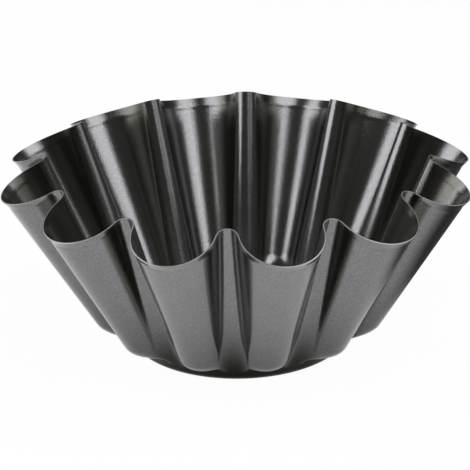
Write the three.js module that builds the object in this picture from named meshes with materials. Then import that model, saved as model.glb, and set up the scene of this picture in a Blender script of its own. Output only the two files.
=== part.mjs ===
// Fluted flan mould: one steel sheet pressed into a deep fluted cup on a short round foot,
// with a non-stick lining inside, a coating outside and the bare cut edge of the sheet at the rim.
// Millimetres, +Z up. The origin is the centre of the underside of the base, and a ridge faces -Y.

import * as THREE from 'three';

// Flutes: lobes swell outwards, and a ridge stands inwards between each two of them
const FLUTE_COUNT = 12;
const RIM_LOBE_RADIUS = 110; // from the axis to the crown of a lobe, at the rim
const RIM_FLUTE_DEPTH = 21.5; // from the crown of a lobe in to the crest of a ridge, at the rim
const RIM_RIDGE_ARC = 4.8; // rounding radius of a ridge, at the rim
const TOE_LOBE_RADIUS = 64.9; // the same three sizes where the flutes end above the foot
const TOE_FLUTE_DEPTH = 10.9;
const TOE_RIDGE_ARC = 5.8;

// Heights above the surface that the mould stands on
const LOBE_RIM_HEIGHT = 80.2;
const RIDGE_RIM_RISE = 10.4; // the rim climbs this much from a lobe to a ridge
const LOBE_UNDERSIDE_HEIGHT = 9;
const RIDGE_FOOT_HEIGHT = 11.5; // where a ridge starts to bend into the foot
const RIDGE_BLEND_HEIGHT = 5; // where that bend has run into the wall of the foot

// Lip: a narrow band under the rim that the lobes flare out with
const LIP_WIDTH = 3.3;
const LIP_FLARE = 0.9;

// Foot: a short round drum under the flutes, which carries the flat base
const FOOT_RADIUS = 48.9;
const FOOT_DRAFT = THREE.MathUtils.degToRad(6);

// Roundings, measured from the corner to the start of the curve
const TOE_ROUND = 6.2;
const BASE_ROUND = 3.5;

// Layers of the wall
const STEEL_THICKNESS = 0.5;
const LINING_THICKNESS = 0.04;
const COATING_THICKNESS = 0.04;

// Facets along half a ridge and half a lobe
const RIDGE_STEPS = 2;
const LOBE_STEPS = 4;

const HALF_PITCH = Math.PI / FLUTE_COUNT;
const STATION_COUNT = FLUTE_COUNT * 2 * (RIDGE_STEPS + LOBE_STEPS);
const RIDGE_BEARING = -Math.PI / 2;

// Half a flute in plan, from the crest of a ridge to the crown of a lobe: two arcs that meet tangent.
function halfFlute(lobeRadius, fluteDepth, ridgeArc) {
  const crestRadius = lobeRadius - fluteDepth;
  const ridgeCentre = new THREE.Vector2(crestRadius + ridgeArc, 0);
  const reach = ridgeCentre.x * Math.cos(HALF_PITCH);
  const span = lobeRadius ** 2 + ridgeCentre.x ** 2 - 2 * lobeRadius * reach - ridgeArc ** 2;
  const lobeArc = span / (2 * (lobeRadius + ridgeArc - reach));
  const lobeCentre = polar(lobeRadius - lobeArc, HALF_PITCH);
  const join = lobeCentre.clone().sub(ridgeCentre).angle();

  const points = [];
  for (let step = 0; step < RIDGE_STEPS; step += 1) {
    const bearing = THREE.MathUtils.lerp(Math.PI, join, step / RIDGE_STEPS);
    points.push(polar(ridgeArc, bearing).add(ridgeCentre));
  }
  for (let step = 0; step <= LOBE_STEPS; step += 1) {
    const bearing = THREE.MathUtils.lerp(join - Math.PI, HALF_PITCH, step / LOBE_STEPS);
    points.push(polar(lobeArc, bearing).add(lobeCentre));
  }
  return points.map((point) => ({
    radius: point.length(),
    angle: Math.atan2(point.y, point.x),
    swell: (point.length() - crestRadius) / fluteDepth, // 0 on a ridge, 1 on a lobe
  }));
}

function polar(radius, angle) {
  return new THREE.Vector2(radius * Math.cos(angle), radius * Math.sin(angle));
}

// The whole outline, station by station around the mould, from half a flute and its mirror image.
function outline(lobeRadius, fluteDepth, ridgeArc) {
  const half = halfFlute(lobeRadius, fluteDepth, ridgeArc);
  const mirrored = half
    .slice(1, -1)
    .reverse()
    .map((station) => ({ ...station, angle: 2 * HALF_PITCH - station.angle }));
  const stations = [];
  for (let flute = 0; flute < FLUTE_COUNT; flute += 1) {
    const turn = RIDGE_BEARING + flute * 2 * HALF_PITCH;
    for (const station of [...half, ...mirrored]) {
      stations.push({ ...station, angle: station.angle + turn });
    }
  }
  return stations;
}

function place(radius, angle, height) {
  return new THREE.Vector3(radius * Math.cos(angle), radius * Math.sin(angle), height);
}

// A rounded corner: its start, its middle and its end, kept within half of each straight run.
function roundCorner(before, corner, after, round) {
  const shortest = Math.min(before.distanceTo(corner), after.distanceTo(corner));
  const trim = Math.min(round, shortest / 2);
  const start = corner.clone().add(before.clone().sub(corner).setLength(trim));
  const end = corner.clone().add(after.clone().sub(corner).setLength(trim));
  const middle = new THREE.QuadraticBezierCurve3(start, corner, end).getPoint(0.5);
  return [start, middle, end];
}

// One upright section of the outer skin, from the rim down the wall and the foot to the flat base.
function section(rim, wallTop, toe) {
  const rimHeight = LOBE_RIM_HEIGHT + RIDGE_RIM_RISE * (1 - rim.swell);
  const toeHeight = THREE.MathUtils.lerp(RIDGE_FOOT_HEIGHT, LOBE_UNDERSIDE_HEIGHT, toe.swell);
  const footHeight = THREE.MathUtils.lerp(RIDGE_BLEND_HEIGHT, LOBE_UNDERSIDE_HEIGHT, toe.swell);
  const footTopRadius = FOOT_RADIUS + footHeight * Math.tan(FOOT_DRAFT);

  const rimPoint = place(rim.radius, rim.angle, rimHeight);
  const wallEnd = place(wallTop.radius, wallTop.angle, rimHeight);
  const toeCorner = place(toe.radius, toe.angle, toeHeight);
  const footTop = place(footTopRadius, toe.angle, footHeight);
  const footCorner = place(FOOT_RADIUS, toe.angle, 0);
  const baseCentre = new THREE.Vector3();

  const crease = wallEnd.clone().add(toeCorner.clone().sub(wallEnd).setLength(LIP_WIDTH));
  const toeCurve = roundCorner(crease, toeCorner, footTop, TOE_ROUND);
  const [, baseBend, baseEdge] = roundCorner(footTop, footCorner, baseCentre, BASE_ROUND);
  return [rimPoint, crease, ...toeCurve, footTop, baseBend, baseEdge];
}

// The outer skin as one open surface: rings of stations from the rim to the base, then its centre.
function outerSkin() {
  const rim = outline(RIM_LOBE_RADIUS, RIM_FLUTE_DEPTH, RIM_RIDGE_ARC);
  const wallTop = outline(RIM_LOBE_RADIUS - LIP_FLARE, RIM_FLUTE_DEPTH - LIP_FLARE, RIM_RIDGE_ARC);
  const toe = outline(TOE_LOBE_RADIUS, TOE_FLUTE_DEPTH, TOE_RIDGE_ARC);
  const sections = rim.map((station, index) => section(station, wallTop[index], toe[index]));

  const points = [];
  for (let ring = 0; ring < sections[0].length; ring += 1) {
    points.push(...sections.map((column) => column[ring]));
  }
  points.push(new THREE.Vector3());

  const skin = new THREE.BufferGeometry().setFromPoints(points);
  skin.setIndex(skinFaces(sections[0].length));
  skin.computeVertexNormals();
  return skin;
}

function skinFaces(ringCount) {
  const faces = [];
  const centre = ringCount * STATION_COUNT;
  for (let station = 0; station < STATION_COUNT; station += 1) {
    const next = (station + 1) % STATION_COUNT;
    for (let ring = 0; ring + 1 < ringCount; ring += 1) {
      const upper = ring * STATION_COUNT;
      const lower = upper + STATION_COUNT;
      faces.push(upper + station, lower + station, upper + next);
      faces.push(upper + next, lower + station, lower + next);
    }
    const last = (ringCount - 1) * STATION_COUNT;
    faces.push(last + station, centre, last + next);
  }
  return faces;
}

// The skin's points moved inwards, square to the surface.
function sunkPoints(skin, depth) {
  const position = skin.getAttribute('position');
  const normal = skin.getAttribute('normal');
  const points = [];
  for (let index = 0; index < position.count; index += 1) {
    const point = new THREE.Vector3().fromBufferAttribute(position, index);
    const outwards = new THREE.Vector3().fromBufferAttribute(normal, index);
    points.push(point.addScaledVector(outwards, -depth));
  }
  return points;
}

// A closed layer of the wall between two depths under the outer skin, cut square at the rim.
function layer(name, skin, outerDepth, thickness, material) {
  const outerPoints = sunkPoints(skin, outerDepth);
  const innerPoints = sunkPoints(skin, outerDepth + thickness);
  const outerFaces = Array.from(skin.getIndex().array);
  const innerFaces = outerFaces.map((vertex) => vertex + outerPoints.length).reverse();

  const rimFaces = [];
  for (let station = 0; station < STATION_COUNT; station += 1) {
    const next = (station + 1) % STATION_COUNT;
    const inner = outerPoints.length;
    rimFaces.push(station, next, inner + station);
    rimFaces.push(next, inner + next, inner + station);
  }

  const geometry = new THREE.BufferGeometry().setFromPoints([...outerPoints, ...innerPoints]);
  geometry.setIndex([...outerFaces, ...innerFaces, ...rimFaces]);
  geometry.computeVertexNormals();
  const mesh = new THREE.Mesh(geometry, material);
  mesh.name = name;
  return mesh;
}

const coatingMaterial = new THREE.MeshStandardMaterial({ color: 0x6f6f71, roughness: 0.45, metalness: 0.5 });
const steelMaterial = new THREE.MeshStandardMaterial({ color: 0xc4c5c6, roughness: 0.3, metalness: 1 });
const liningMaterial = new THREE.MeshStandardMaterial({ color: 0x262624, roughness: 0.25, metalness: 0.5 });

const skin = outerSkin();
const steelDepth = COATING_THICKNESS;
const liningDepth = steelDepth + STEEL_THICKNESS;

const flanMould = new THREE.Group();
flanMould.add(layer('outer_coating', skin, 0, COATING_THICKNESS, coatingMaterial));
flanMould.add(layer('pressed_steel_shell', skin, steelDepth, STEEL_THICKNESS, steelMaterial));
flanMould.add(layer('nonstick_lining', skin, liningDepth, LINING_THICKNESS, liningMaterial));

export default flanMould;
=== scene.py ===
# %% [markdown]
# # A fluted flan mould
# The real object is one disc of thin sheet steel, pressed into a deep cup with twelve flutes and a
# short round foot. A dark non-stick lining covers the inside, a grey coating covers the outside, and
# the cut edge of the sheet stays bare at the rim. This lesson models the three layers, gives each its
# finish, and lights them as in a small studio.

# %% Load the frame
import math

import bpy
from mathutils import Euler, Matrix, Vector


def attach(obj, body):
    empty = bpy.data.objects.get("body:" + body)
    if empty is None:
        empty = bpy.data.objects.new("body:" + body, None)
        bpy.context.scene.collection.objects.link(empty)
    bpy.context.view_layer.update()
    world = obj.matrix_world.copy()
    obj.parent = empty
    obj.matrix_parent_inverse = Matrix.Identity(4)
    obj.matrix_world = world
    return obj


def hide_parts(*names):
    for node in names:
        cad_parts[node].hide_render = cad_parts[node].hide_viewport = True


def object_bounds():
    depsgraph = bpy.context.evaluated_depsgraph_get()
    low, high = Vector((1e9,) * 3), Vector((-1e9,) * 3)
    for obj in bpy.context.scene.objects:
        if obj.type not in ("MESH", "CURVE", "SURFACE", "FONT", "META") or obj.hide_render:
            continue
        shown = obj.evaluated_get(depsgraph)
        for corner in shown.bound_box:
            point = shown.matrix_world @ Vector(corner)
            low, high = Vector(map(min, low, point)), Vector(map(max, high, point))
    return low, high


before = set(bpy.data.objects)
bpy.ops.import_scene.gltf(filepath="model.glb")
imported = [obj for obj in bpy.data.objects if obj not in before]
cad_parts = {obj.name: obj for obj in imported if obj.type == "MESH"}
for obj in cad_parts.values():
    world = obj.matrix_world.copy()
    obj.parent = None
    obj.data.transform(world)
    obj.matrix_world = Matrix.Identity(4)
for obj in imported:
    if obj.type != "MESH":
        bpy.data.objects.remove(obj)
cad_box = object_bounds()
MM = 0.001
print("solids:", sorted(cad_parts), "box in mm:", [[round(c / MM, 1) for c in v] for v in cad_box])

# %% [markdown]
# ## The view
# Settle the camera before the looks, because gloss depends on where one stands. A long lens from a
# metre and a half away keeps the mould nearly free of perspective. The camera stands a little to the
# right of the front ridge, looks down into the mould, and leans by one degree, as the photographer's did.

# %% Camera
PICTURE_PIXELS = 470
FOCAL_PIXELS = 3141
SENSOR_WIDTH = 36  # millimetres, the width that the lens length below refers to
CAMERA_DISTANCE = 1450 * MM  # from the middle of the rim
CAMERA_ELEVATION = math.radians(21.27)
CAMERA_BEARING = math.radians(3.1)  # to the right of the front ridge
CAMERA_LEAN = math.radians(-1.03)
RIM_MIDDLE_PIXEL = (236.8, 177.1)
RIM_MIDDLE_HEIGHT = 80.2 * MM
VIEW_DEPTH = 100  # metres, past the far edge of the table


def aim_camera():
    """Puts the camera at its distance and turns it until the middle of the rim falls on its pixel."""
    middle = (PICTURE_PIXELS - 1) / 2
    across = (RIM_MIDDLE_PIXEL[0] - middle) / FOCAL_PIXELS
    down = (RIM_MIDDLE_PIXEL[1] - middle) / FOCAL_PIXELS
    level_across = across * math.cos(CAMERA_LEAN) + down * math.sin(CAMERA_LEAN)
    level_down = down * math.cos(CAMERA_LEAN) - across * math.sin(CAMERA_LEAN)
    tilt = CAMERA_ELEVATION - math.atan(level_down)
    turn = Matrix.Rotation(CAMERA_BEARING, 3, "Z")
    stand = Vector((
        -level_across * CAMERA_DISTANCE,
        -CAMERA_DISTANCE * math.cos(CAMERA_ELEVATION),
        CAMERA_DISTANCE * math.sin(CAMERA_ELEVATION) + RIM_MIDDLE_HEIGHT,
    ))
    facing = Euler((math.pi / 2 - tilt, 0, 0)).to_matrix() @ Matrix.Rotation(CAMERA_LEAN, 3, "Z")
    bpy.ops.object.camera_add(location=turn @ stand, rotation=(turn @ facing).to_euler())
    camera = bpy.context.object
    camera.name = "photo_camera"
    camera.data.sensor_width = SENSOR_WIDTH
    camera.data.lens = FOCAL_PIXELS * SENSOR_WIDTH / PICTURE_PIXELS
    camera.data.clip_end = VIEW_DEPTH
    bpy.context.scene.camera = camera
    return camera


camera = aim_camera()
print("camera at", [round(c, 3) for c in camera.location], "lens", round(camera.data.lens, 1), "mm")

# %% [markdown]
# ## Small helpers for modelling
# Operators act on whatever is selected, so each step first selects one object and nothing else. These
# helpers do that, and step into and out of edit mode.

# %% Selection helpers


def pick_only(piece):
    bpy.ops.object.select_all(action="DESELECT")
    piece.select_set(True)
    bpy.context.view_layer.objects.active = piece


def start_editing(piece, elements="VERT", action="DESELECT"):
    pick_only(piece)
    bpy.ops.object.mode_set(mode="EDIT")
    bpy.ops.mesh.select_mode(type=elements)
    bpy.ops.mesh.select_all(action=action)


def stop_editing():
    bpy.ops.object.mode_set(mode="OBJECT")


def apply_modifier(piece, kind, **settings):
    pick_only(piece)
    modifier = piece.modifiers.new(kind.lower(), kind)
    for name, value in settings.items():
        setattr(modifier, name, value)
    bpy.ops.object.modifier_apply(modifier=modifier.name)


# %% [markdown]
# ## Lines around half a flute
# A flute is the stretch from the crest of one ridge to the next, with a lobe between them, and its two
# halves mirror each other. So half of one is all that has to be drawn. Seen from above it is two arcs
# that meet tangent: a small one around the ridge and a wide one along the lobe. One vertex is spun
# through both arcs. The rim climbs towards the ridges, so each point then goes to the height that its
# distance from the axis asks for.

# %% Lines by spinning one vertex
FLUTE_COUNT = 12
HALF_PITCH = math.pi / FLUTE_COUNT
RIDGE_STEPS = 9
LOBE_STEPS = 20


def set_height(line, crest_radius, flute_depth, lobe_height, ridge_height):
    """Lifts each point: ridge_height on the ridge, lobe_height on the lobe, and evenly between them."""
    for vertex in line.data.vertices:
        swell = (vertex.co.xy.length - crest_radius) / flute_depth
        vertex.co.z = ridge_height + (lobe_height - ridge_height) * swell


def flute_line(name, lobe_radius, crest_radius, ridge_arc, lobe_height, ridge_height):
    ridge_centre = Vector((0, -(crest_radius + ridge_arc), 0))
    reach = -ridge_centre.y * math.cos(HALF_PITCH)
    span = lobe_radius**2 + ridge_centre.y**2 - 2 * lobe_radius * reach - ridge_arc**2
    lobe_arc = span / (2 * (lobe_radius + ridge_arc - reach))
    to_lobe_centre = lobe_radius - lobe_arc
    lobe_centre = Vector((math.sin(HALF_PITCH), -math.cos(HALF_PITCH), 0)) * to_lobe_centre
    ridge_turn = Vector((0, 1, 0)).angle(lobe_centre - ridge_centre)

    bpy.ops.object.select_all(action="DESELECT")
    bpy.ops.mesh.primitive_plane_add(size=MM, location=(0, -crest_radius, 0))
    line = bpy.context.object
    line.name = name
    bpy.ops.object.transform_apply()
    start_editing(line, action="SELECT")
    bpy.ops.mesh.merge(type="CENTER")
    bpy.ops.mesh.spin(steps=RIDGE_STEPS, angle=ridge_turn, center=ridge_centre, axis=(0, 0, 1))
    bpy.ops.mesh.spin(
        steps=LOBE_STEPS, angle=-(HALF_PITCH + ridge_turn), center=lobe_centre, axis=(0, 0, 1)
    )
    stop_editing()
    set_height(line, crest_radius, lobe_radius - crest_radius, lobe_height, ridge_height)
    line.vertex_groups.new(name=name).add(range(len(line.data.vertices)), 1.0, "REPLACE")
    print(name, "line:", len(line.data.vertices), "points, lobe arc", round(lobe_arc / MM, 1), "mm")
    return line


# %% [markdown]
# Four such lines carry the wall. The rim is the top. The lip line lies a few millimetres under it,
# where the lobes start to flare outwards. The press pinches the sheet in slightly there, so the lip line
# lies a hair inside the straight wall, which starts at the tuck line just below. The toe line is where
# the wall turns under, above the foot. The wall runs straight from rim to toe, so the lines between
# them are found on that straight run.

# %% Rim, lip, tuck and toe
RIM_LOBE_RADIUS = 110 * MM
RIM_CREST_RADIUS = 88.5 * MM
RIM_RIDGE_ARC = 4.8 * MM
RIM_LOBE_HEIGHT = RIM_MIDDLE_HEIGHT
RIM_RIDGE_HEIGHT = 90.6 * MM
TOE_LOBE_RADIUS = 64.9 * MM
TOE_CREST_RADIUS = 55.9 * MM
TOE_RIDGE_ARC = 8 * MM
TOE_LOBE_HEIGHT = 9 * MM
TOE_RIDGE_HEIGHT = 11.5 * MM
LIP_WIDTH = 3.3 * MM
LIP_FLARE = 0.9 * MM
LIP_PINCH = 0.2 * MM
TUCK_WIDTH = 1.6 * MM


def down_the_wall(top, toe, distance):
    """The point (radius, height) that lies this far down the straight run from top to toe."""
    run = Vector(toe) - Vector(top)
    return Vector(top) + run * (distance / run.length)


rim_line = flute_line(
    "rim", RIM_LOBE_RADIUS, RIM_CREST_RADIUS, RIM_RIDGE_ARC, RIM_LOBE_HEIGHT, RIM_RIDGE_HEIGHT
)
toe_line = flute_line(
    "toe", TOE_LOBE_RADIUS, TOE_CREST_RADIUS, TOE_RIDGE_ARC, TOE_LOBE_HEIGHT, TOE_RIDGE_HEIGHT
)


def wall_line(name, distance, pinch=0):
    lobe = down_the_wall(
        (RIM_LOBE_RADIUS - LIP_FLARE, RIM_LOBE_HEIGHT), (TOE_LOBE_RADIUS, TOE_LOBE_HEIGHT), distance
    )
    ridge = down_the_wall(
        (RIM_CREST_RADIUS, RIM_RIDGE_HEIGHT), (TOE_CREST_RADIUS, TOE_RIDGE_HEIGHT), distance
    )
    return flute_line(name, lobe.x - pinch, ridge.x, RIM_RIDGE_ARC, lobe.y, ridge.y)


lip_line = wall_line("lip", LIP_WIDTH, LIP_PINCH)
tuck_line = wall_line("tuck", LIP_WIDTH + TUCK_WIDTH)

# %% [markdown]
# ## Lines around the foot
# The foot is a short drum that widens upwards, so that the ridges run on into it with hardly a bend.
# Copies of the toe line are pulled in to it: one where the undersides of the lobes meet the drum, one at
# its lower corner, and one a little further in, which keeps the flat base flat when the surface is shaded
# smooth.

# %% Foot lines
FOOT_RADIUS = 50 * MM
FOOT_DRAFT = math.radians(25)
FOOT_TOP_RIDGE_HEIGHT = 5 * MM
BASE_RING_RADIUS = 42 * MM


def foot_line(name, radius, lobe_height, ridge_height):
    pick_only(toe_line)
    bpy.ops.object.duplicate()
    line = bpy.context.object
    line.name = name
    line.vertex_groups["toe"].name = name
    set_height(line, TOE_CREST_RADIUS, TOE_LOBE_RADIUS - TOE_CREST_RADIUS, lobe_height, ridge_height)
    for vertex in line.data.vertices:
        pulled = radius + vertex.co.z * math.tan(FOOT_DRAFT)
        vertex.co.xy *= pulled / vertex.co.xy.length
    print(name, "line pulled in to", round(radius / MM, 1), "mm")
    return line


foot_top_line = foot_line("foot_top", FOOT_RADIUS, TOE_LOBE_HEIGHT, FOOT_TOP_RIDGE_HEIGHT)
foot_edge_line = foot_line("foot_edge", FOOT_RADIUS, 0, 0)
base_ring_line = foot_line("base_ring", BASE_RING_RADIUS, 0, 0)

# %% [markdown]
# ## From lines to a skin
# Joined into one mesh, each line is bridged to the next with faces. The last line is extruded to the
# middle of the base and merged there.

# %% Bridge the lines
LINES_DOWN = (rim_line, lip_line, tuck_line, toe_line, foot_top_line, foot_edge_line, base_ring_line)
LINE_NAMES = [line.name for line in LINES_DOWN]
WELD = 0.005 * MM


def select_lines(skin, *names):
    start_editing(skin)
    for name in names:
        skin.vertex_groups.active = skin.vertex_groups[name]
        bpy.ops.object.vertex_group_select()


pick_only(rim_line)
for line in LINES_DOWN:
    line.select_set(True)
bpy.ops.object.join()
skin = bpy.context.object
skin.name = "outer_skin"
for upper, lower in zip(LINE_NAMES, LINE_NAMES[1:]):
    select_lines(skin, upper, lower)
    bpy.ops.mesh.bridge_edge_loops()
    stop_editing()
select_lines(skin, "base_ring")
bpy.ops.mesh.extrude_region_move()
bpy.ops.transform.resize(value=(0, 0, 1), center_override=(0, 0, 0))
bpy.ops.mesh.remove_doubles(threshold=WELD)
stop_editing()
print("half a flute:", len(skin.data.polygons), "faces")

# %% [markdown]
# ## Twelve flutes
# A Mirror modifier makes the whole flute. An Array modifier then copies it around the axis: its offset
# is an empty that is turned by one flute, and the copies are welded where they meet.

# %% Mirror and array
apply_modifier(skin, "MIRROR", use_axis=(True, False, False), merge_threshold=WELD)
bpy.ops.object.empty_add(rotation=(0, 0, 2 * HALF_PITCH))
one_flute_on = bpy.context.object
bpy.context.view_layer.update()
apply_modifier(
    skin,
    "ARRAY",
    count=FLUTE_COUNT,
    use_relative_offset=False,
    use_object_offset=True,
    offset_object=one_flute_on,
    use_merge_vertices=True,
    use_merge_vertices_cap=True,
    merge_threshold=WELD,
)
bpy.data.objects.remove(one_flute_on)
start_editing(skin, action="SELECT")
bpy.ops.mesh.remove_doubles(threshold=WELD)
bpy.ops.mesh.normals_make_consistent(inside=False)
stop_editing()
print("all round:", len(skin.data.polygons), "faces")

# %% [markdown]
# ## Rounded bends
# Sheet that is pressed never bends sharply. Each line is bevelled to the round that the tool leaves:
# wide at the toes, smaller at the base, tight where the lobes meet the foot, and only just soft at the
# lip. The width is measured along the neighbouring edges. A line is found again by its vertex group,
# and only full weights count, because bevelling spreads groups thinly over the new points.

# %% Bevel the lines
ROUNDS = {
    "toe": (6.2 * MM, 7),
    "foot_top": (0.8 * MM, 3),
    "foot_edge": (3.5 * MM, 5),
    "lip": (0.6 * MM, 2),
    "tuck": (0.6 * MM, 2),
}  # for each line, the width of its round and the faces across it
FULL_WEIGHT = 0.99


def select_line_edges(skin, name):
    group = skin.vertex_groups[name].index
    on_line = set()
    for vertex in skin.data.vertices:
        if any(entry.group == group and entry.weight > FULL_WEIGHT for entry in vertex.groups):
            on_line.add(vertex.index)
    start_editing(skin, elements="EDGE")
    stop_editing()
    for edge in skin.data.edges:
        edge.select = on_line.issuperset(edge.vertices)
    bpy.ops.object.mode_set(mode="EDIT")


for name, (width, segments) in ROUNDS.items():
    select_line_edges(skin, name)
    bpy.ops.mesh.bevel(
        offset_type="ABSOLUTE", offset=width, segments=segments, affect="EDGES", clamp_overlap=False
    )
    stop_editing()
    print("rounded", name, "by", round(width / MM, 1), "mm")

# %% [markdown]
# The wall is still one tall face from tuck to toe at each station. Its long edges are subdivided, so
# that the faces come closer to square and the gloss runs evenly over them.

# %% Cut the tall wall faces
WALL_CUTS = 10
TALL_EDGE = 30 * MM

start_editing(skin, elements="EDGE")
stop_editing()
points = skin.data.vertices
for edge in skin.data.edges:
    low, high = (points[index].co.z for index in edge.vertices)
    edge.select = abs(high - low) > TALL_EDGE
bpy.ops.object.mode_set(mode="EDIT")
bpy.ops.mesh.subdivide(number_cuts=WALL_CUTS)
stop_editing()
print("skin:", len(skin.data.vertices), "points")

# %% [markdown]
# ## Three layers
# The skin is the outermost surface. Each layer is a copy of it, sunk to its depth and given its own
# thickness with Solidify: the grey coating outside, half a millimetre of steel, and the lining inside.
# The coats are only a few hundredths of a millimetre thick, so the rim shows little but the steel. Its cut
# edge gets a fine bevel, because deburring takes its sharpness off.

# %% Layers by shrinking and thickening the skin
COAT_THICKNESS = 0.04 * MM
STEEL_THICKNESS = 0.5 * MM
EDGE_BREAK = 0.1 * MM
EDGE_BREAK_FACES = 2
SHARP_EDGE = math.radians(50)


def layer(name, depth, thickness):
    pick_only(skin)
    bpy.ops.object.duplicate()
    piece = bpy.context.object
    piece.name = name
    piece.data.name = name
    piece.vertex_groups.clear()
    start_editing(piece, action="SELECT")
    bpy.ops.transform.shrink_fatten(value=-depth)
    stop_editing()
    apply_modifier(piece, "SOLIDIFY", thickness=thickness, offset=-1)
    return piece


coating = layer("grey_outer_coating", 0, COAT_THICKNESS)
steel = layer("steel_sheet", COAT_THICKNESS, STEEL_THICKNESS)
lining = layer("dark_lining", COAT_THICKNESS + STEEL_THICKNESS, COAT_THICKNESS)
apply_modifier(
    steel,
    "BEVEL",
    width=EDGE_BREAK,
    segments=EDGE_BREAK_FACES,
    limit_method="ANGLE",
    angle_limit=SHARP_EDGE,
)
bpy.data.objects.remove(skin)
for piece in (coating, steel, lining):
    pick_only(piece)
    bpy.ops.object.shade_smooth_by_angle(angle=SHARP_EDGE)
    apply_modifier(piece, "WEIGHTED_NORMAL", keep_sharp=True)
    print(piece.name, "has", len(piece.data.polygons), "faces")

# %% [markdown]
# The steep flanks between the lobes and ridges face each other, and the finishes paint shade on them. Each
# point keeps how far it turns away from facing straight in or out, as an attribute that the finishes can
# read.

# %% Mark the flanks


def mark_flanks(piece):
    flank = piece.data.attributes.new("flank", "FLOAT", "POINT")
    steepest = 0
    for vertex in piece.data.vertices:
        level = vertex.normal.xy
        outwards = vertex.co.xy.normalized() if vertex.co.xy.length else level
        turned = level.length - abs(level.dot(outwards))
        flank.data[vertex.index].value = turned
        steepest = max(steepest, turned)
    print(piece.name, "flanks turn away by up to", round(steepest, 2))


mark_flanks(coating)
mark_flanks(lining)

# %% [markdown]
# ## Writing shader sums
# Finishes are built from nodes. Wiring Math nodes by hand is hard to read, so this small class wraps a
# socket and turns Python sums into Math nodes. Its `node` method makes any other node: settings first,
# then a value or a link for each socket.

# %% A socket that can be used in sums


class Shade:
    """One output socket of a shader tree, which can be added, subtracted and multiplied like a number."""

    def __init__(self, socket):
        self.socket = socket

    @classmethod
    def node(cls, tree, kind, settings=None, sockets=None, output=0):
        made = tree.nodes.new(kind)
        for name, value in (settings or {}).items():
            setattr(made, name, value)
        for name, value in (sockets or {}).items():
            if isinstance(value, cls):
                tree.links.new(value.socket, made.inputs[name])
            else:
                made.inputs[name].default_value = value
        return cls(made.outputs[output]) if made.outputs else None

    def sum(self, operation, first, second):
        tree = self.socket.id_data
        return Shade.node(tree, "ShaderNodeMath", {"operation": operation}, {0: first, 1: second})

    def __add__(self, other):
        return self.sum("ADD", self, other)

    __radd__ = __add__

    def __mul__(self, other):
        return self.sum("MULTIPLY", self, other)

    __rmul__ = __mul__

    def __sub__(self, other):
        return self.sum("SUBTRACT", self, other)

    def __rsub__(self, other):
        return self.sum("SUBTRACT", other, self)

    def above(self, start, end):
        """0 below start, 1 above end, and a smooth step between them."""
        sockets = {"Value": self, "From Min": start, "From Max": end}
        settings = {"interpolation_type": "SMOOTHSTEP"}
        return Shade.node(self.socket.id_data, "ShaderNodeMapRange", settings, sockets)


# %% [markdown]
# The finishes share a few small steps: noise of a given size, a mix of two colours, a colour made lighter
# or darker, the start and end of a material, and giving it to a layer. Noise is read in the object's own
# coordinates, so its blots have a real size and stay where they are when the camera moves.

# %% Steps that the finishes share
MIX_SHARE, MIX_FIRST, MIX_SECOND, MIX_RESULT = 0, 6, 7, 2  # where a Mix node keeps its colour sockets


def noise(tree, place, size, detail=2.0):
    """Noise whose blots are about this size, in metres."""
    sockets = {"Vector": place, "Scale": 1 / size, "Detail": detail}
    return Shade.node(tree, "ShaderNodeTexNoise", None, sockets)


def mix_colours(tree, share, first, second):
    sockets = {MIX_SHARE: share, MIX_FIRST: first, MIX_SECOND: second}
    return Shade.node(tree, "ShaderNodeMix", {"data_type": "RGBA"}, sockets, output=MIX_RESULT)


def scale_colour(tree, colour, factor):
    sockets = {0: colour, "Scale": factor}
    return Shade.node(tree, "ShaderNodeVectorMath", {"operation": "SCALE"}, sockets)


def axis_distance(tree, place):
    """How far a point is from the upright axis of the mould."""
    level = Shade.node(tree, "ShaderNodeVectorMath", {"operation": "MULTIPLY"}, {0: place, 1: (1, 1, 0)})
    return Shade.node(tree, "ShaderNodeVectorMath", {"operation": "LENGTH"}, {0: level}, output="Value")


def new_finish(name):
    """An empty material, its node tree and the object's own coordinates."""
    finish = bpy.data.materials.new(name)
    finish.use_nodes = True
    finish.node_tree.nodes.clear()
    place = Shade.node(finish.node_tree, "ShaderNodeTexCoord", output="Object")
    return finish, finish.node_tree, place


def end_finish(tree, surface):
    Shade.node(tree, "ShaderNodeOutputMaterial", None, {"Surface": surface})


def give_finish(piece, finish):
    piece.data.materials.clear()
    piece.data.materials.append(finish)
    print(piece.name, "is finished in", finish.name, "with", len(finish.node_tree.nodes), "nodes")


# %% [markdown]
# ## Sprayed films
# Lining and coating are both sprayed on with metal pigment in them and baked. The surface keeps a fine
# orange-peel grain, which both tints it and bends its gloss. One function makes such a film from its
# colour, the strength of its grain, and whatever else the two finishes below set differently.

# %% A sprayed film
GRAIN_SIZE = 0.8 * MM
GRAIN_DETAIL = 1.0


def sprayed_film(tree, place, colour, grain_tint, grain_depth, sockets):
    grain = noise(tree, place, GRAIN_SIZE, GRAIN_DETAIL)
    surface = {
        "Base Color": scale_colour(tree, colour, 1 - grain_tint / 2 + grain_tint * grain),
        "Normal": Shade.node(tree, "ShaderNodeBump", None, {"Distance": grain_depth, "Height": grain}),
    }
    return Shade.node(tree, "ShaderNodeBsdfPrincipled", None, surface | sockets)


def flank_shade_mask(tree, start, end):
    """Where the finishes paint shade: 0 on lobes and ridges, 1 on the flanks between them."""
    flank = Shade.node(tree, "ShaderNodeAttribute", {"attribute_name": "flank"}, output="Fac")
    return flank.above(start, end)
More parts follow.
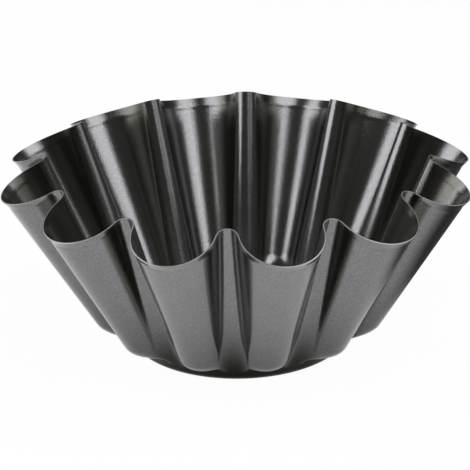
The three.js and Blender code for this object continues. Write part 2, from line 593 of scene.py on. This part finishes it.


# %% [markdown]
# ## Lining
# The lining is the darker and glossier film, so it mirrors the lights as long pale streaks down the flutes
# and is nearly black beside them. Its pigment settles in soft clouds, which make it a little paler and
# rougher. On the flanks its colour carries painted shade, darker and a little browner.

# %% Lining finish
LINING_CLOUD = 18 * MM
LINING_DEEP = (0.152, 0.151, 0.153, 1)
LINING_PALE = (0.176, 0.175, 0.178, 1)
# Painted shade: the lining is coloured darker and a little browner on the flanks, where the lobes face
# each other.
LINING_PAINTED_SHADE_ON_FLANKS = (0.094, 0.0925, 0.082, 1)
LINING_FLANK_SHADE_TURNS = (0.2, 0.36)  # the turn at which the painted shade on a flank starts, and at which it is full
LINING_METALLIC = 0.94
LINING_ROUGHNESS = 0.18
LINING_CLOUD_ROUGHNESS = 0.06
LINING_GRAIN_TINT = 0.4
LINING_GRAIN_DEPTH = 0.06 * MM


def lining_finish():
    finish, tree, place = new_finish("baked_lining")
    cloud = noise(tree, place, LINING_CLOUD)
    sprayed = mix_colours(tree, cloud, LINING_DEEP, LINING_PALE)
    # Painted shade: the flanks take the darker colour.
    colour = mix_colours(tree, flank_shade_mask(tree, *LINING_FLANK_SHADE_TURNS), sprayed, LINING_PAINTED_SHADE_ON_FLANKS)
    roughness = LINING_ROUGHNESS + LINING_CLOUD_ROUGHNESS * cloud
    sockets = {"Metallic": LINING_METALLIC, "Roughness": roughness}
    film = sprayed_film(tree, place, colour, LINING_GRAIN_TINT, LINING_GRAIN_DEPTH, sockets)
    end_finish(tree, film)
    return finish


give_finish(lining, lining_finish())

# %% [markdown]
# ## Outer coating
# Outside, the film is a satin grey. It mirrors the table softly, so the lobes look pale. The walls of the
# narrow grooves between them mirror each other and look nearly black. The colour also carries painted
# shade: darker on the flanks, darker towards the toes, and nearly black on the foot. A thin clear lacquer
# lies over the film outside the painted shade on the flanks and the foot, and draws the bright line along
# the edge of each lobe.

# %% Coating finish
COATING_CLOUD = 22 * MM
COATING_DEEP = (0.177, 0.175, 0.178, 1)
COATING_PALE = (0.201, 0.199, 0.202, 1)
# Painted shade: darker colour low on the wall, towards the toes.
COATING_PAINTED_SHADE_AT_TOES = (0.105, 0.104, 0.104, 1)
# Painted shade: darker colour on the flanks, where the grooves mirror each other.
COATING_PAINTED_SHADE_ON_FLANKS = (0.085, 0.083, 0.073, 1)
# Painted shade: nearly black colour on the foot.
COATING_PAINTED_SHADE_ON_FOOT = (0.03, 0.027, 0.02, 1)
# The turns at which the painted shade on a flank starts, and at which it is full.
COATING_FLANK_SHADE_TURNS = (0.47, 0.57)
COATING_ROUGHNESS = 0.14
COATING_CLOUD_ROUGHNESS = 0.06
COATING_GRAIN_TINT = 1.0
COATING_GRAIN_DEPTH = 0.05 * MM
LACQUER_ROUGHNESS = 0.08
# Heights between which the painted shade low on the wall fades out: gone above the first, deepest below
# the second.
LOW_SHADE_TOP_HEIGHT = 48 * MM
LOW_SHADE_DEEPEST_HEIGHT = 4 * MM
# Radii between which the painted shade on the foot fades out: deepest inside the first, gone outside the
# second.
FOOT_SHADE_DEEPEST_RADIUS = 52 * MM
FOOT_SHADE_END_RADIUS = 65 * MM


def coating_finish():
    finish, tree, place = new_finish("satin_coating")
    cloud = noise(tree, place, COATING_CLOUD)
    height = Shade.node(tree, "ShaderNodeSeparateXYZ", None, {0: place}, output="Z")
    # Painted shade towards the toes: 0 low down, 1 high up on the wall.
    above_low_shade = height.above(LOW_SHADE_DEEPEST_HEIGHT, LOW_SHADE_TOP_HEIGHT)
    sprayed = mix_colours(tree, cloud, COATING_DEEP, COATING_PALE)
    wall = mix_colours(tree, above_low_shade, COATING_PAINTED_SHADE_AT_TOES, sprayed)
    # Painted shade on the foot; the lacquer also stays off it.
    clear_of_foot_shade = axis_distance(tree, place).above(FOOT_SHADE_DEEPEST_RADIUS, FOOT_SHADE_END_RADIUS)
    shaded_wall_and_foot = mix_colours(tree, clear_of_foot_shade, COATING_PAINTED_SHADE_ON_FOOT, wall)
    flanks = flank_shade_mask(tree, *COATING_FLANK_SHADE_TURNS)
    # Painted shade on the flanks, above the low shade.
    colour = mix_colours(tree, flanks * above_low_shade, shaded_wall_and_foot, COATING_PAINTED_SHADE_ON_FLANKS)
    sockets = {
        "Metallic": 1.0,
        "Roughness": COATING_ROUGHNESS + COATING_CLOUD_ROUGHNESS * cloud,
        # The lacquer stays off where shade is painted on the flanks and the foot.
        "Coat Weight": (1 - flanks) * clear_of_foot_shade,
        "Coat Roughness": LACQUER_ROUGHNESS,
    }
    film = sprayed_film(tree, place, colour, COATING_GRAIN_TINT, COATING_GRAIN_DEPTH, sockets)
    end_finish(tree, film)
    return finish


give_finish(coating, coating_finish())

# %% [markdown]
# ## Bare steel
# Only the cut edge of the sheet shows, as a thin line along the rim. The blanking die leaves fine streaks
# across it, which scatter the light.

# %% Steel finish
STREAK_SIZE = 0.25 * MM
STREAK_DETAIL = 4.0
PATCH_SIZE = 6 * MM
STEEL_DEEP = (0.26, 0.26, 0.26, 1)
STEEL_PALE = (0.44, 0.44, 0.445, 1)
STEEL_ROUGHNESS = 0.45
STEEL_PATCH_ROUGHNESS = 0.2


def steel_finish():
    finish, tree, place = new_finish("cut_steel")
    streaks = noise(tree, place, STREAK_SIZE, STREAK_DETAIL)
    patches = noise(tree, place, PATCH_SIZE)
    surface = {
        "Base Color": mix_colours(tree, streaks, STEEL_DEEP, STEEL_PALE),
        "Metallic": 1.0,
        "Roughness": STEEL_ROUGHNESS + STEEL_PATCH_ROUGHNESS * patches,
    }
    end_finish(tree, Shade.node(tree, "ShaderNodeBsdfPrincipled", None, surface))
    return finish


give_finish(steel, steel_finish())

# %% [markdown]
# ## The table
# A wide white table stands in for the floor. To the camera it is shown as nearly pure white, and gloss
# sees part of that white too. The rest is plain diffuse white, which keeps the shadow of the mould. In
# the studio a deep shadow also fell on the table to the right of the mould. It doesn't show in the
# picture itself, but the coating mirrors it as dark edges on the right. So gloss alone sees it, as a
# soft oval.

# %% Floor
FLOOR_SIZE = 40
FLOOR_DEEP = (0.86, 0.86, 0.86, 1)
FLOOR_PALE = (0.88, 0.88, 0.88, 1)
FLOOR_MOTTLE = 0.3
WHITE = (1, 1, 1, 1)
WHITE_TO_CAMERA = 0.97
WHITE_TO_GLOSS = 0.25
SHADOW_GREY = (0.02, 0.02, 0.02, 1)
SHADOW_DEPTH = 0.92
SHADOW_MIDDLE = (147 * MM, 53 * MM, 0)  # to the right of the mould, and a little behind it
SHADOW_REACH = (70 * MM, 120 * MM, 1)  # half its width and half its length
SHADOW_CORE = 0.6  # the shadow fades between these shares of its reach
SHADOW_END = 1.3


def white_share(tree, to_camera, to_gloss):
    """How much of the white a ray sees: set for the camera, and for mirrored or refracted rays."""
    camera_ray, glossy, through = (
        Shade.node(tree, "ShaderNodeLightPath", output=f"Is {kind} Ray")
        for kind in ("Camera", "Glossy", "Transmission")
    )
    return camera_ray * to_camera + (glossy + through) * to_gloss


def oval_shadow(tree, place):
    """1 in the middle of the shadow, 0 outside of it, with soft edges."""
    sockets = {0: place, 1: SHADOW_MIDDLE}
    offset = Shade.node(tree, "ShaderNodeVectorMath", {"operation": "SUBTRACT"}, sockets)
    sockets = {0: offset, 1: SHADOW_REACH}
    share = Shade.node(tree, "ShaderNodeVectorMath", {"operation": "DIVIDE"}, sockets)
    out = Shade.node(tree, "ShaderNodeVectorMath", {"operation": "LENGTH"}, {0: share}, output="Value")
    return 1 - out.above(SHADOW_CORE, SHADOW_END)


def floor_finish():
    finish, tree, place = new_finish("white_table")
    colour = mix_colours(tree, noise(tree, place, FLOOR_MOTTLE), FLOOR_DEEP, FLOOR_PALE)
    table = Shade.node(tree, "ShaderNodeBsdfDiffuse", None, {"Color": colour})
    white = Shade.node(tree, "ShaderNodeEmission", None, {"Color": WHITE, "Strength": 1.0})
    share = white_share(tree, WHITE_TO_CAMERA, WHITE_TO_GLOSS)
    lit = Shade.node(tree, "ShaderNodeMixShader", None, {0: share, 1: table, 2: white})
    dark = Shade.node(tree, "ShaderNodeBsdfDiffuse", None, {"Color": SHADOW_GREY})
    glossy = Shade.node(tree, "ShaderNodeLightPath", output="Is Glossy Ray")
    shadow = oval_shadow(tree, place) * glossy * SHADOW_DEPTH
    end_finish(tree, Shade.node(tree, "ShaderNodeMixShader", None, {0: shadow, 1: lit, 2: dark}))
    finish.cycles.emission_sampling = "NONE"
    return finish


bpy.ops.object.select_all(action="DESELECT")
bpy.ops.mesh.primitive_plane_add(size=FLOOR_SIZE, location=(0, 0, cad_box[0].z))
floor = bpy.context.object
floor.name = "white_table"
floor.data.materials.append(floor_finish())
print("floor at height", round(floor.location.z / MM, 2), "mm")

# %% [markdown]
# ## The lights
# Two large softboxes stand left and right of the camera, and nothing stands behind it, so the camera's
# side stays dark: that gives the lining its black ground with pale streaks. A white card low on the
# right throws a little light back. A real softbox is brightest in its middle and fades towards its edges.
# Stacked rectangles of growing size, one close behind the other, give that fade, and each carries an
# equal share of the light.

# %% Softboxes
AIM = Vector((0, 0, 50 * MM))
LIGHT_DISTANCE = 1.0
LIGHT_COLOUR = (0.97, 0.98, 1.0)
FRONT = -math.pi / 2 + CAMERA_BEARING
SOFT_STEPS = 3
SOFT_GAP = 20 * MM


def softbox(name, bearing, elevation, roll, across, up, fade, radiance):
    """A rectangle of light that faces the mould: angles in degrees, edges in metres from its middle."""
    sideways = FRONT + math.radians(bearing)
    upwards = math.radians(elevation)
    towards = Vector((
        math.cos(upwards) * math.cos(sideways), math.cos(upwards) * math.sin(sideways), math.sin(upwards)
    ))
    facing = towards.to_track_quat("Z", "Y").to_matrix() @ Matrix.Rotation(math.radians(roll), 3, "Z")
    for step in range(SOFT_STEPS):
        grow = fade * (2 * step / (SOFT_STEPS - 1) - 1)
        centre = Vector((sum(across) / 2, sum(up) / 2, step * SOFT_GAP))
        stand = AIM + towards * LIGHT_DISTANCE + facing @ centre
        bpy.ops.object.light_add(type="AREA", location=stand, rotation=facing.to_euler())
        box = bpy.context.object
        box.name = f"{name}_{step}"
        box.data.shape = "RECTANGLE"
        box.data.size = across[1] - across[0] + grow
        box.data.size_y = up[1] - up[0] + grow
        box.data.color = LIGHT_COLOUR
        box.data.energy = radiance / SOFT_STEPS * math.pi * box.data.size * box.data.size_y
    print(name, "about", round(box.data.size, 2), "by", round(box.data.size_y, 2), "m")


softbox(
    "right_softbox", bearing=63, elevation=45, roll=0,
    across=(-0.53, 0.5), up=(-0.28, 0.68), fade=0.2, radiance=3.3,
)
softbox(
    "left_softbox", bearing=-82, elevation=30, roll=5,
    across=(-0.55, 0.47), up=(-0.6, 0.58), fade=0.16, radiance=3.2,
)
softbox(
    "right_card", bearing=63, elevation=45, roll=0,
    across=(-0.1, 0.65), up=(-0.65, -0.4), fade=0.16, radiance=1.4,
)

# %% [markdown]
# Beyond the table the studio is dim. The camera sees white there as well, should a low view reach past
# the edge of the table, and gloss sees only a trace of it.

# %% World
STUDIO_GREY = (0.039, 0.037, 0.021, 1)
STUDIO_WHITE_TO_GLOSS = 0.04

studio = bpy.data.worlds.new("dim_studio")
studio.use_nodes = True
tree = studio.node_tree
tree.nodes.clear()
dim = Shade.node(tree, "ShaderNodeBackground", None, {"Color": STUDIO_GREY})
white = Shade.node(tree, "ShaderNodeBackground", None, {"Color": WHITE})
share = white_share(tree, WHITE_TO_CAMERA, STUDIO_WHITE_TO_GLOSS)
surface = Shade.node(tree, "ShaderNodeMixShader", None, {0: share, 1: dim, 2: white})
Shade.node(tree, "ShaderNodeOutputWorld", None, {"Surface": surface})
bpy.context.scene.world = studio
bpy.context.scene.view_settings.view_transform = "Standard"
print("studio grey", STUDIO_GREY[0])

# %% [markdown]
# ## Tie the layers to the frame
# Each layer rides on the one rigid body and stands for its solid.

# %% Ride and replace
for piece, node, slot in (
    (coating, "outer_coating", "coating"),
    (steel, "pressed_steel_shell", "bare_steel"),
    (lining, "nonstick_lining", "lining"),
):
    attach(piece, "root")
    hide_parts(node)
    print(piece.name, "stands for", node)
